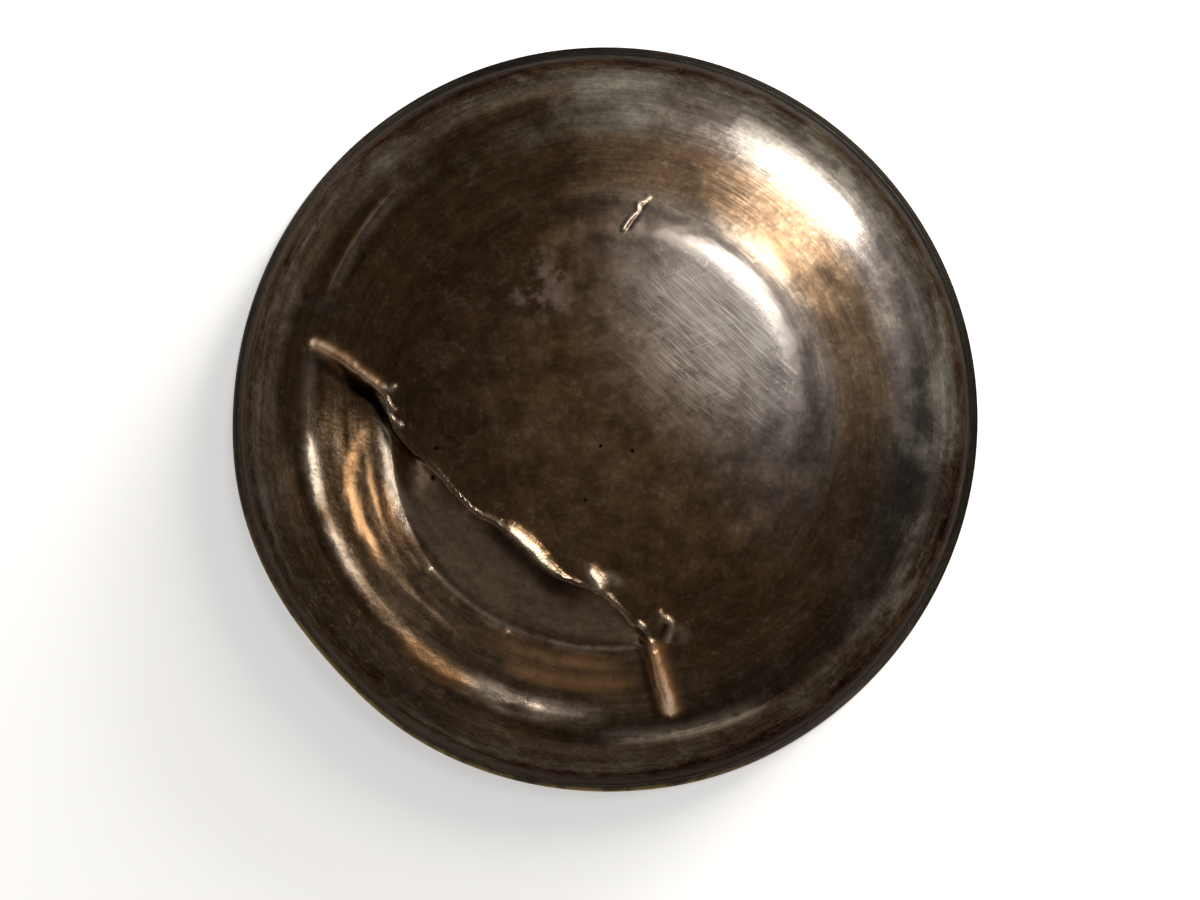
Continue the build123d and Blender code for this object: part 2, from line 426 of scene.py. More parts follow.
def wall_radius(height, outset=0.0):
    """Radius of the leaning wall at a height, moved outwards by outset."""
    return LIP_RADIUS - height * math.tan(LEAN) + outset / math.cos(LEAN)


def slope_height(radius, inset=0.0):
    """Height of the sloping shoulder at a radius, moved inwards by inset."""
    return BOWL_HEIGHT - (radius - BASE_RADIUS) * math.tan(SLOPE) - inset / math.cos(SLOPE)


def rounded(before, corner, after, radius, steps=40):
    """Points of the arc that rounds one corner of an outline."""
    before, corner, after = Vector(before), Vector(corner), Vector(after)
    back = (before - corner).normalized()
    ahead = (after - corner).normalized()
    half = back.angle(ahead) / 2
    centre = corner + (back + ahead).normalized() * radius / math.sin(half)
    start = corner + back * radius / math.tan(half) - centre
    turn = math.pi - 2 * half
    first = math.atan2(start.y, start.x)
    angles = [first - turn * step / steps for step in range(steps + 1)]
    return [(centre.x + radius * math.cos(a), centre.y + radius * math.sin(a)) for a in angles]


def meridian(inset, rings):
    """Radii and heights of the bowl's outline, from the axis to the lip, moved inwards by inset."""
    top = BOWL_HEIGHT - inset
    turn_radius = wall_radius(slope_height(0, inset), -inset) / (1 - math.tan(LEAN) * math.tan(SLOPE))
    axis = (0.0, top)
    corner = (BASE_RADIUS - inset * math.tan(SLOPE / 2), top)
    turn = (turn_radius, slope_height(turn_radius, inset))
    lip = (wall_radius(0, -inset), 0.0)
    line = [axis]
    line += rounded(axis, corner, turn, CORNER_ROUND - inset)
    line += rounded(corner, turn, lip, SHOULDER_ROUND - inset)
    line = np.array(line + [lip])
    run = np.concatenate([[0.0], np.cumsum(np.hypot(*np.diff(line, axis=0).T))])
    ends = [begin for begin, step in rings[1:]] + [run[-1]]
    stations = [
        np.linspace(begin, end, round((end - begin) / step), endpoint=False)
        for (begin, step), end in zip(rings, ends)
    ]
    stations = np.concatenate(stations + [run[-1:]])
    return np.interp(stations, run, line[:, 0]), np.interp(stations, run, line[:, 1])


def flowing(rows, steps=4):
    """Rows of a drawn line, with more rows between them so that it runs in a curve."""
    rows = np.array(rows)
    padded = np.vstack([2 * rows[0] - rows[1], rows, 2 * rows[-1] - rows[-2]])
    line = []
    for a, b, c, d in zip(padded, padded[1:], padded[2:], padded[3:]):
        for t in np.arange(steps) / steps:
            squared = (a - 2.5 * b + 2 * c - d / 2) * t ** 2
            cubed = (1.5 * (b - c) + (d - a) / 2) * t ** 3
            line.append(b + (c - a) * t / 2 + squared + cubed)
    return np.array(line + [rows[-1]])


OLD_RADII, OLD_HEIGHTS = meridian(0.0, OUTER_RINGS)
COURSE = flowing(DENT_COURSE)
EDGE = flowing(DENT_EDGE)
EDGE[:, 2:] = np.maximum(EDGE[:, 2:], 0.0)
CREASE_LINES = [(*values, flowing(points)) for *values, points in MINOR_CREASES]


def uneven(x, y, length):
    """Irregular waviness, about -1 to 1, with waves of about the given length."""
    total = np.zeros(x.shape)
    for turn, finer, shift in UNEVEN_WAVES:
        along = (x * math.cos(turn) + y * math.sin(turn)) * finer / length
        across = (y * math.cos(turn) - x * math.sin(turn)) * finer / length
        bend = WAVE_BEND * np.sin(WAVE_BEND_RATE * across + 2 * shift)
        total += np.sin(2 * np.pi * along + shift + bend)
    return total / WAVE_LEVEL


def beside(points, x, y):
    """Distance of each place from a drawn line, positive on its right, and its mark along the line."""
    best = np.full(x.shape, np.inf)
    side = np.ones(x.shape)
    mark = np.zeros(x.shape)
    for index, ((ax, ay), (bx, by)) in enumerate(zip(points[:-1], points[1:])):
        dx, dy = bx - ax, by - ay
        share = np.clip(((x - ax) * dx + (y - ay) * dy) / (dx * dx + dy * dy), 0.0, 1.0)
        away = np.hypot(x - ax - share * dx, y - ay - share * dy)
        nearer = away < best
        best = np.where(nearer, away, best)
        side = np.where(nearer, np.where(dx * (y - ay) - dy * (x - ax) > 0, -1.0, 1.0), side)
        mark = np.where(nearer, index + share, mark)
    return best * side, mark


def inside_edge(x, y):
    """How far each place is inside the dent's edge, negative outside, and its mark along the edge."""
    inside, mark = beside(EDGE[:, :2], x, y)
    return inside + EDGE_WIGGLE * uneven(x, y, EDGE_WIGGLE_LENGTH), mark


def dent_places(x, y):
    """Where each place is on the bowl and in the dent, with the edge's and the course's values there."""
    radius, azimuth = np.hypot(x, y), np.degrees(np.arctan2(y, x)) % 360
    inside, mark = inside_edge(x, y)
    at = SimpleNamespace(x=x, y=y, radius=radius, azimuth=azimuth, inside=inside)
    at.along = np.radians(azimuth) * RIDGE_RADIUS / STREAK_STRETCH
    at.in_reach = smooth(*WEAR_END, radius)
    marks = np.arange(len(EDGE))
    for column, name in enumerate(EDGE_VALUES, 2):
        setattr(at, name, np.interp(mark, marks, EDGE[:, column]))
    for column, name in enumerate(COURSE_VALUES, 1):
        setattr(at, name, np.interp(azimuth, COURSE[:, 0], COURSE[:, column]))
    return at


def near_mark(at, x, y, half_width):
    """Share that is 1 at a mark and fades round it."""
    return hump(np.hypot(at.x - x, at.y - y), half_width)


def near_crease(at, points, half_width):
    """Share that is 1 along a crease and fades beside it."""
    return hump(beside(points, at.x, at.y)[0], half_width)


def west_bend(azimuth):
    """How far a line along the gutter bends inwards near the west end."""
    return WEST_BEND * np.maximum(WEST_BEND_AZIMUTH - azimuth, 0.0) ** 2


def arc_ridge(at, first, last, first_radius, last_radius, half_width):
    """Faint ridge along an arc whose radius changes evenly from first to last."""
    share = np.clip((at.azimuth - first) / (last - first), 0.0, 1.0)
    middle = first_radius + (last_radius - first_radius) * share
    fade = band(at.azimuth, first, first + ARC_FADE, last - ARC_FADE, last)
    return hump(at.radius - middle, half_width) * fade


def stepped_share(at, out):
    """Share of the rise from the valley to the ridge that the west end's steps have made."""
    radius = at.radius + STEP_WANDER * uneven(at.x, at.y, STEP_WANDER_LENGTH)
    rise = GUTTER_EVEN_RISE * out
    total = GUTTER_EVEN_RISE
    along = (at.azimuth - STEPS_FIRST_AZIMUTH) / STEPS_SPAN
    for first_radius, last_radius, half_width, step_rise, first, last, bend in GUTTER_STEPS:
        middle = first_radius + (last_radius - first_radius) * along - bend * west_bend(at.azimuth)
        share = band(at.azimuth, first, first + STEP_FADE_IN, last - STEP_FADE_OUT, last)
        step = smooth(middle - half_width, middle + half_width, radius)
        rise = rise + step_rise * (share * step + (1 - share) * out)
        total += step_rise
    return rise / total


def gutter_height(at):
    """Height of the gutter from the valley to the ridge: stepped at its west end, then an even strip."""
    crest = slope_height(RIDGE_RADIUS) + at.lift
    out = (at.radius - at.valley_radius) / (RIDGE_RADIUS - at.valley_radius)
    strip = at.valley + at.first_rise * out + (crest - at.valley - at.first_rise) * out * out
    ripple = np.sin(2 * np.pi * at.radius / RIPPLE_LENGTH + at.azimuth / RIPPLE_SLANT)
    strip += RIPPLE_HEIGHT * ripple * band(out, *RIPPLED_SHARE)
    stepped = at.valley + (crest - at.valley) * stepped_share(at, out)
    gutter = stepped + (strip - stepped) * smooth(*STEPS_TO_STRIP, at.azimuth)
    return gutter + STREAK_HEIGHT * uneven(at.along, at.radius, STREAK_LENGTH)


def lens_height(at, old):
    """Height of the segment that falls from the dent's edge to the valley."""
    deep = np.maximum(at.inside, 0.0)
    deep = deep * deep / (deep + EDGE_EASE + EDGE_EASE_SHARE * at.ridge_width)
    to_valley = np.maximum(at.valley_radius - at.radius, 0.0)
    share = deep / (deep + to_valley + NEVER_ZERO)
    lens = (old - at.drop * smooth(0.0, DROP_WIDTH, deep)) * (1 - share) + at.valley * share
    return lens + LENS_HEIGHT * uneven(at.x, at.y, LENS_LENGTH)


def ridge_height(at):
    """Height of the curb, ridges, folds and pimples that stand on the crushed sheet."""
    curb_wave = uneven(at.along, at.radius / CURB_STRETCH, CURB_WAVE_LENGTH)
    height = at.curb * (CURB_EVEN + CURB_WAVE * curb_wave) * hump(at.radius - RIDGE_RADIUS, CURB_WIDTH)
    west_end, east_end = smooth(*WEST_CREASE_END, at.radius), smooth(*EAST_CREASE_END, at.radius)
    near_end = np.where(at.azimuth > DENT_MIDDLE, east_end, west_end)
    side = np.where(at.inside > 0, RIDGE_INNER_SIDE, RIDGE_OUTER_SIDE)
    height += at.ridge * hump(at.inside, side * at.ridge_width) * near_end
    for arc_height, *arc in ARC_RIDGES:
        height += arc_height * arc_ridge(at, *arc)
    for crease_height, half_width, rub, crease_shade, points in CREASE_LINES:
        height += crease_height * near_crease(at, points, half_width)
    for x, y, half_width, pimple_height in PIMPLES:
        height += pimple_height * near_mark(at, x, y, half_width)
    return height


def crushed(x, y):
    """How far the sheet is moved up or down at each place by the dent, its creases and the small marks."""
    at = dent_places(x, y)
    old = np.interp(at.radius, OLD_RADII, OLD_HEIGHTS)
    inner, outer = RIDGE_RADIUS - RIDGE_REACH, RIDGE_RADIUS + RIDGE_REACH
    flank = old + at.lift * band(at.radius, inner, RIDGE_RADIUS, RIDGE_RADIUS, outer)
    floor = np.where(at.radius < at.valley_radius, lens_height(at, old), gutter_height(at))
    bed = lower_of(floor, flank, RIDGE_ROUND)
    step = smooth(0.0, STEP_SPREAD * at.step, at.inside)
    entry = np.where(between(at.azimuth, DENT_FIRST, DENT_LAST), step, 0.0)
    return flank + (bed - flank) * entry + ridge_height(at) - old


def gutter_streak(at, middle, half_width, first, last, bend):
    """Share of one streak along the gutter."""
    ends = band(at.azimuth, first, first + STREAK_FADE_IN, last - STREAK_FADE_OUT, last)
    away = at.radius - middle + bend * west_bend(at.azimuth)
    return hump(away, half_width) * ends * smooth(*STREAK_CLEAR_OF_EDGE, at.inside)


def rubbed_and_highlight_share(at):
    """How far the tarnish is rubbed off ridges, pimples, folds, streaks and arcs, pale partly from wear and
    partly as painted highlights.
    """
    outside = at.inside + RUB_OUTSIDE * at.ridge_width
    rubbed = [at.rub * hump(outside, at.ridge_width * RUB_WIDTH) * at.in_reach]
    for x, y, half_width, height in PIMPLES:
        rubbed.append(PIMPLE_RUB * near_mark(at, x, y, half_width * RUB_WIDTH))
    for height, half_width, rub, crease_shade, points in CREASE_LINES:
        rubbed.append(rub * near_crease(at, points, half_width))
    for *streak, rub, gold in GUTTER_STREAKS:
        rubbed.append(rub * gutter_streak(at, *streak))
    for rub, *arc in ARC_RUBS:
        rubbed.append(rub * arc_ridge(at, *arc))
    return np.maximum.reduce(rubbed)


def painted_shade_share(at):
    """How dark the painted shade is below the dent's edge and in the splits."""
    end_reach = band(at.inside, *END_SHADE_START, at.step, at.step + END_SHADE_FADE)
    end_step = END_STEP_SHADE * smooth(*END_STEP_WIDTHS, at.step) * end_reach
    chord_step = CHORD_STEP_SHADE * smooth(*CHORD_DROPS, at.drop) * band(at.inside, *CHORD_SHADE_REACH)
    in_dent = at.in_reach * between(at.azimuth, *SHADED_AZIMUTHS)
    painted_shade = [end_step * in_dent, chord_step * in_dent]
    for height, half_width, rub, crease_shade, points in CREASE_LINES:
        painted_shade.append(crease_shade * near_crease(at, points, half_width))
    return np.maximum.reduce(painted_shade)


def coppery_share(at):
    """How coppery the stains are just inside the dent's edge."""
    spots = [near_mark(at, *spot) for spot in COPPERY_SPOTS]
    return np.maximum.reduce(spots) * smooth(*COPPERY_INSIDE, at.inside)


def golden_and_highlight_share(at):
    """How golden the two end creases and the gutter's streaks are, partly golden metal and partly painted
    warm highlights.
    """
    golden = []
    for gold, outside, half_width, radii, azimuths in GOLDEN_CREASES:
        along = smooth(*radii, at.radius) * at.in_reach * between(at.azimuth, *azimuths)
        golden.append(gold * hump(at.inside + outside, half_width) * along)
    for *streak, rub, gold in GUTTER_STREAKS:
        golden.append(gold * gutter_streak(at, *streak))
    return np.maximum.reduce(golden)


def bared_share(at):
    """How far the metal in the dent is bare of tarnish: all of the lens, whose pale tone is partly painted
    light, less at the gutter's west end.
    """
    bared = smooth(*BARED_INSIDE, at.inside) * (1 - smooth(*BARED_END, at.radius))
    bared = bared * between(at.azimuth, DENT_FIRST, DENT_LAST)
    gutter = BARED_LEAST + (1 - BARED_LEAST) * smooth(*BARED_GUTTER_AZIMUTHS, at.azimuth)
    return bared * np.where(at.radius < BARED_LENS_RADIUS, 1.0, gutter)


def creased_share(at):
    """How full of small dints the ridges, folds and the gutter are."""
    ridges = smooth(*CREASED_RIDGES, at.ridge) * hump(at.inside, RIDGE_DINT_WIDTH * at.ridge_width)
    gutter = band(at.radius, *GUTTER_RADII) * smooth(*GUTTER_INSIDE, at.inside)
    west_gutter = WEST_GUTTER_DINTS * gutter * band(at.azimuth, *WEST_GUTTER_AZIMUTHS)
    on_ridge = hump(at.radius - RIDGE_BAND_RADIUS, RIDGE_BAND_WIDTH)
    ridge_band = RIDGE_BAND_DINTS * gutter * on_ridge * band(at.azimuth, *RIDGE_BAND_AZIMUTHS)
    creased = [ridges * at.in_reach, west_gutter, ridge_band]
    for height, half_width, rub, crease_shade, points in CREASE_LINES:
        sharp = FOLD_DINTS * smooth(*CREASED_FOLDS, abs(height))
        creased.append(sharp * near_crease(at, points, FOLD_DINT_WIDTH * half_width))
    return np.maximum.reduce(creased)


# What the sheet's vertices carry for its finish, wear and painted light among it, each from 0 to 1
WEAR_AND_PAINTED_LIGHT = {
    "rubbed": rubbed_and_highlight_share,
    "painted_shade": painted_shade_share,
    "coppery": coppery_share,
    "golden": golden_and_highlight_share,
    "bared": bared_share,
    "creased": creased_share,
}


def out_of_round(bm):
    """Moves the lip and what is on it in and out, as the rim was knocked."""
    for vert in bm.verts:
        radius = math.hypot(vert.co.x, vert.co.y)
        if radius < 1 or vert.co.z > RIM_BUMP_TOP:
            continue
        azimuth = math.degrees(math.atan2(vert.co.y, vert.co.x)) % 360
        push = 0.0
        for middle, width, size in RIM_BUMPS:
            push += size * math.exp(-(((azimuth - middle) / width) ** 2))
        push *= 1 - (vert.co.z / RIM_BUMP_TOP) ** 2 if vert.co.z > 0 else 1
        vert.co.x *= 1 + push / radius
        vert.co.y *= 1 + push / radius


def finished(bm, name, node, material):
    """Makes the piece from its mesh, in metres, smooth, on the root body and in place of its CAD node."""
    bmesh.ops.scale(bm, vec=(MM, MM, MM), verts=bm.verts)
    for face in bm.faces:
        face.smooth = True
    mesh = bpy.data.meshes.new(name)
    bm.to_mesh(mesh)
    bm.free()
    mesh.materials.append(material)
    piece = bpy.data.objects.new(name, mesh)
    bpy.context.scene.collection.objects.link(piece)
    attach(piece, "root")
    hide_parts(node)
    return piece


def spin_outline(bm, within):
    """Spins the outline of the outer face, the lip and the inner face round the bowl's axis."""
    outer = list(zip(*meridian(0.0, OUTER_RINGS)))
    inner = list(zip(*meridian(SHEET, INNER_RINGS)))
    first = math.radians(FIRST_AZIMUTH)
    verts = []
    for number, (radius, height) in enumerate(outer + inner[::-1]):
        vert = bm.verts.new((radius * math.cos(first), radius * math.sin(first), height))
        vert[within] = 1.0 if number >= len(outer) else 0.0
        verts.append(vert)
    profile = verts + [bm.edges.new(pair) for pair in zip(verts[:-1], verts[1:])]
    for span, steps in SECTORS:
        spun = bmesh.ops.spin(
            bm, geom=profile, cent=(0, 0, 0), axis=(0, 0, 1), angle=math.radians(span), steps=steps
        )
        profile = spun["geom_last"]
    bmesh.ops.remove_doubles(bm, verts=bm.verts, dist=MERGE_DISTANCE)
    bmesh.ops.recalc_face_normals(bm, faces=bm.faces)
    bm.verts.ensure_lookup_table()


def onto_edge(x, y):
    """Moves the places next to the dent's edge onto it, so that the ridge runs along the mesh's edges."""
    inside = inside_edge(x, y)[0]
    pull_x = (inside_edge(x + EDGE_PROBE, y)[0] - inside) / EDGE_PROBE
    pull_y = (inside_edge(x, y + EDGE_PROBE)[0] - inside) / EDGE_PROBE
    snap = np.where(np.abs(inside) < SNAP_REACH, inside, 0.0)
    return x - snap * np.clip(pull_x, -1, 1), y - snap * np.clip(pull_y, -1, 1)


def bowl_shell(material):
    """The bowl: an outline spun round its axis, then crushed, creased and worn vertex by vertex."""
    bm = bmesh.new()
    layers = {name: bm.verts.layers.float.new(name) for name in (*WEAR_AND_PAINTED_LIGHT, "within")}
    spin_outline(bm, layers["within"])
    within = np.array([vert[layers["within"]] for vert in bm.verts]) > 0.5
    places = np.array([vert.co for vert in bm.verts])
    x, y = onto_edge(places[:, 0], places[:, 1])
    moved = crushed(x, y)
    for step_x, step_y in [(1, 0), (-1, 0), (0, 1), (0, -1)]:
        nearby = crushed(x[within] + step_x * INNER_CLEARANCE, y[within] + step_y * INNER_CLEARANCE)
        moved[within] = np.minimum(moved[within], nearby)
    at = dent_places(x, y)
    wear_and_painted_light = {name: share(at) for name, share in WEAR_AND_PAINTED_LIGHT.items()}
    for index, vert in enumerate(bm.verts):
        if vert.co.z > CRUSH_LOWEST:
            vert.co = (x[index], y[index], vert.co.z + moved[index])
            if not within[index]:
                for name, shares in wear_and_painted_light.items():
                    vert[layers[name]] = shares[index]
    out_of_round(bm)
    return finished(bm, "bowl_shell_metal", "bowl_shell", material)


def spun_ring(section):
    """A closed section, in radius and height, spun right round the bowl's axis."""
    bm = bmesh.new()
    verts = [bm.verts.new((radius, 0.0, height)) for radius, height in section]
    edges = [bm.edges.new((verts[i - 1], verts[i])) for i in range(len(verts))]
    bmesh.ops.spin(
        bm,
        geom=verts + edges,
        cent=(0, 0, 0),
        axis=(0, 0, 1),
        angle=2 * math.pi,
        steps=RING_STEPS,
        use_merge=True,
    )
    bmesh.ops.recalc_face_normals(bm, faces=bm.faces)
    return bm


def ring_edges(bm, radius, height):
    """Edges that run round the ring at a radius and height."""
    def on_ring(vert):
        at_radius = abs(math.hypot(vert.co.x, vert.co.y) - radius) < RING_TOLERANCE
        return at_radius and abs(vert.co.z - height) < RING_TOLERANCE
    return [edge for edge in bm.edges if all(on_ring(vert) for vert in edge.verts)]


def rim_wire(material):
    """Half-round wire round the outside of the lip, lapped flat under the mouth."""
    bm = spun_ring([
        (wall_radius(0), 0.0),
        (RIM_RADIUS, 0.0),
        (RIM_RADIUS, WIRE_HEIGHT),
        (wall_radius(WIRE_HEIGHT), WIRE_HEIGHT),
    ])
    top = (WIRE_HEIGHT, WIRE_TOP_ROUND, WIRE_TOP_SEGMENTS)
    foot = (0.0, WIRE_FOOT_ROUND, WIRE_FOOT_SEGMENTS)
    for height, size, segments in [top, foot]:
        bmesh.ops.bevel(
            bm,
            geom=ring_edges(bm, RIM_RADIUS, height),
            offset=size,
            offset_type="OFFSET",
            affect="EDGES",
            segments=segments,
            profile=0.5,
            material=-1,
        )
    out_of_round(bm)
    return finished(bm, "rim_wire_metal", "rim_wire", material)


def rim_solder(material):
    """Hollow fillet of solder in the corner between the wire's top and the wall."""
    corner = (wall_radius(WIRE_HEIGHT), WIRE_HEIGHT)
    foot_radius = corner[0] + SOLDER_LEG
    top_radius = wall_radius(WIRE_HEIGHT + SOLDER_LEG)
    section = [corner]
    for step in range(SOLDER_ARC_STEPS + 1):
        turn = math.pi / 2 * step / SOLDER_ARC_STEPS
        height = WIRE_HEIGHT + SOLDER_LEG * (1 - math.cos(turn))
        section.append((foot_radius + (top_radius - foot_radius) * math.sin(turn), height))
    bm = spun_ring(section)
    out_of_round(bm)
    return finished(bm, "rim_solder_metal", "rim_solder", material)


class Finish:
    """A metal finish built from nodes that read the piece's own coordinates and attributes."""

    def __init__(self, name):
        self.material = bpy.data.materials.new(name)
        self.material.use_nodes = True
        self.tree = self.material.node_tree
        self.tree.nodes.clear()
        self.shader = self.node("ShaderNodeBsdfPrincipled")
        output = self.node("ShaderNodeOutputMaterial")
        self.tree.links.new(self.shader.outputs["BSDF"], output.inputs["Surface"])
        self.place = self.node("ShaderNodeTexCoord").outputs["Object"]
        self.flat = self.vectors("MULTIPLY", self.place, (1.0, 1.0, 0.0))
        self.radius = self.vectors("LENGTH", self.flat)
        self.direction = self.vectors("NORMALIZE", self.flat)
        self.spun = self.round_the_bowl()
        self.colour = None

    def node(self, kind, **settings):
        """A new node with its settings."""
        new = self.tree.nodes.new(kind)
        for name, value in settings.items():
            setattr(new, name, value)
        return new

    def feed(self, socket, value):
        """Links a socket to another, or sets its number or colour."""
        if isinstance(value, bpy.types.NodeSocket):
            self.tree.links.new(value, socket)
        elif isinstance(value, tuple) and len(socket.default_value) == 4:
            socket.default_value = (*value, 1.0)
        else:
            socket.default_value = value

    def sums(self, operation, a, b=0.0):
        """One step of arithmetic."""
        new = self.node("ShaderNodeMath", operation=operation)
        self.feed(new.inputs[0], a)
        self.feed(new.inputs[1], b)
        return new.outputs[0]

    def times(self, value, *factors):
        """Product of all values."""
        for factor in factors:
            value = self.sums("MULTIPLY", value, factor)
        return value

    def plus(self, value, *others):
        """Total of all values."""
        for other in others:
            value = self.sums("ADD", value, other)
        return value

    def vectors(self, operation, a, b=(0.0, 0.0, 0.0)):
        """One step of arithmetic on places."""
        new = self.node("ShaderNodeVectorMath", operation=operation)
        self.feed(new.inputs[0], a)
        self.feed(new.inputs[1], b)
        return new.outputs["Value" if operation in ("LENGTH", "DOT_PRODUCT", "DISTANCE") else "Vector"]

    def noise(self, place, scale, detail, roughness, distortion=0.0):
        """Cloudy pattern from 0 to 1."""
        new = self.node("ShaderNodeTexNoise")
        self.feed(new.inputs["Vector"], place)
        self.feed(new.inputs["Scale"], scale)
        self.feed(new.inputs["Detail"], detail)
        self.feed(new.inputs["Roughness"], roughness)
        self.feed(new.inputs["Distortion"], distortion)
        return new.outputs["Fac"]

    def span(self, value, low, high, at_low=0.0, at_high=1.0):
        """Eases a value between two limits into a new range."""
        new = self.node("ShaderNodeMapRange", interpolation_type="SMOOTHSTEP")
        self.feed(new.inputs["Value"], value)
        self.feed(new.inputs["From Min"], low)
        self.feed(new.inputs["From Max"], high)
        self.feed(new.inputs["To Min"], at_low)
        self.feed(new.inputs["To Max"], at_high)
        return new.outputs["Result"]

    def blend(self, share, a, b, kind="MIX"):
        """Mixes two colours."""
        new = self.node("ShaderNodeMix", data_type="RGBA", blend_type=kind)
        self.feed(new.inputs["Factor"], share)
        self.feed(new.inputs[6], a)
        self.feed(new.inputs[7], b)
        return new.outputs[2]

    def round_the_bowl(self):
        """A place that runs round the bowl and along its outline, for marks that follow the spinning."""
        direction = self.node("ShaderNodeSeparateXYZ")
        self.feed(direction.inputs[0], self.direction)
        place = self.node("ShaderNodeSeparateXYZ")
        self.feed(place.inputs[0], self.place)
        joined = self.node("ShaderNodeCombineXYZ")
        self.feed(joined.inputs["X"], direction.outputs["X"])
        self.feed(joined.inputs["Y"], direction.outputs["Y"])
        self.feed(joined.inputs["Z"], self.sums("SUBTRACT", self.radius, place.outputs["Z"]))
        return joined.outputs["Vector"]

    def streaks(self, round_scale, across_scale):
        """Cloudy pattern drawn out round the bowl, from 0 to 1."""
        place = self.vectors("MULTIPLY", self.spun, (round_scale, round_scale, across_scale))
        return self.noise(place, 1.0, 3.0, 0.6)

    def scratches(self, turn, length, width, low):
        """Fine straight scratches in one direction, from 0 to 1."""
        turned = self.node("ShaderNodeVectorRotate", rotation_type="Z_AXIS")
        self.feed(turned.inputs["Vector"], self.place)
        self.feed(turned.inputs["Angle"], math.radians(turn))
        scale = (1 / (length * MM), 1 / (width * MM), 1 / (length * MM))
        place = self.vectors("MULTIPLY", turned.outputs["Vector"], scale)
        return self.span(self.noise(place, 1.0, 1.0, 0.4), low, low + SCRATCH_SOFTNESS)

    def attribute(self, name):
        """A value that the piece carries on its vertices."""
        return self.node("ShaderNodeAttribute", attribute_name=name).outputs["Fac"]

    def ring(self, first, last, at_first=0.0, at_last=1.0):
        """Share that changes from one radius of the bowl to another, in millimetres."""
        return self.span(self.radius, first * MM, last * MM, at_first, at_last)

    def facing(self, side, low, high, at_low=0.0, at_high=1.0):
        """Share that changes as the place turns towards a side of the bowl."""
        return self.span(self.vectors("DOT_PRODUCT", self.direction, side), low, high, at_low, at_high)

    def spot(self, x, y, size, soft):
        """Share that is 1 inside a round spot on the bowl, given in millimetres, and 0 outside it."""
        away = self.vectors("DISTANCE", self.flat, (x * MM, y * MM, 0.0))
        return self.span(away, (size - soft) * MM, (size + soft) * MM, 1.0, 0.0)

    def coat(self, share, tone):
        """Lays a tone over the colour so far."""
        self.colour = self.blend(share, self.colour, tone)

    def shade(self, strength):
        """Makes the colour so far darker or paler."""
        self.colour = self.blend(1.0, self.colour, strength, "MULTIPLY")

    def done(self, roughness, relief, relief_height):
        """Sets the shader's colour, roughness and relief."""
        bump = self.node("ShaderNodeBump")
        self.feed(bump.inputs["Height"], relief)
        self.feed(bump.inputs["Strength"], 1.0)
        self.feed(bump.inputs["Distance"], relief_height)
        self.feed(self.shader.inputs["Base Color"], self.colour)
        self.feed(self.shader.inputs["Roughness"], roughness)
        self.feed(self.shader.inputs["Normal"], bump.outputs["Normal"])
        self.shader.inputs["Metallic"].default_value = 1.0
        return self.material


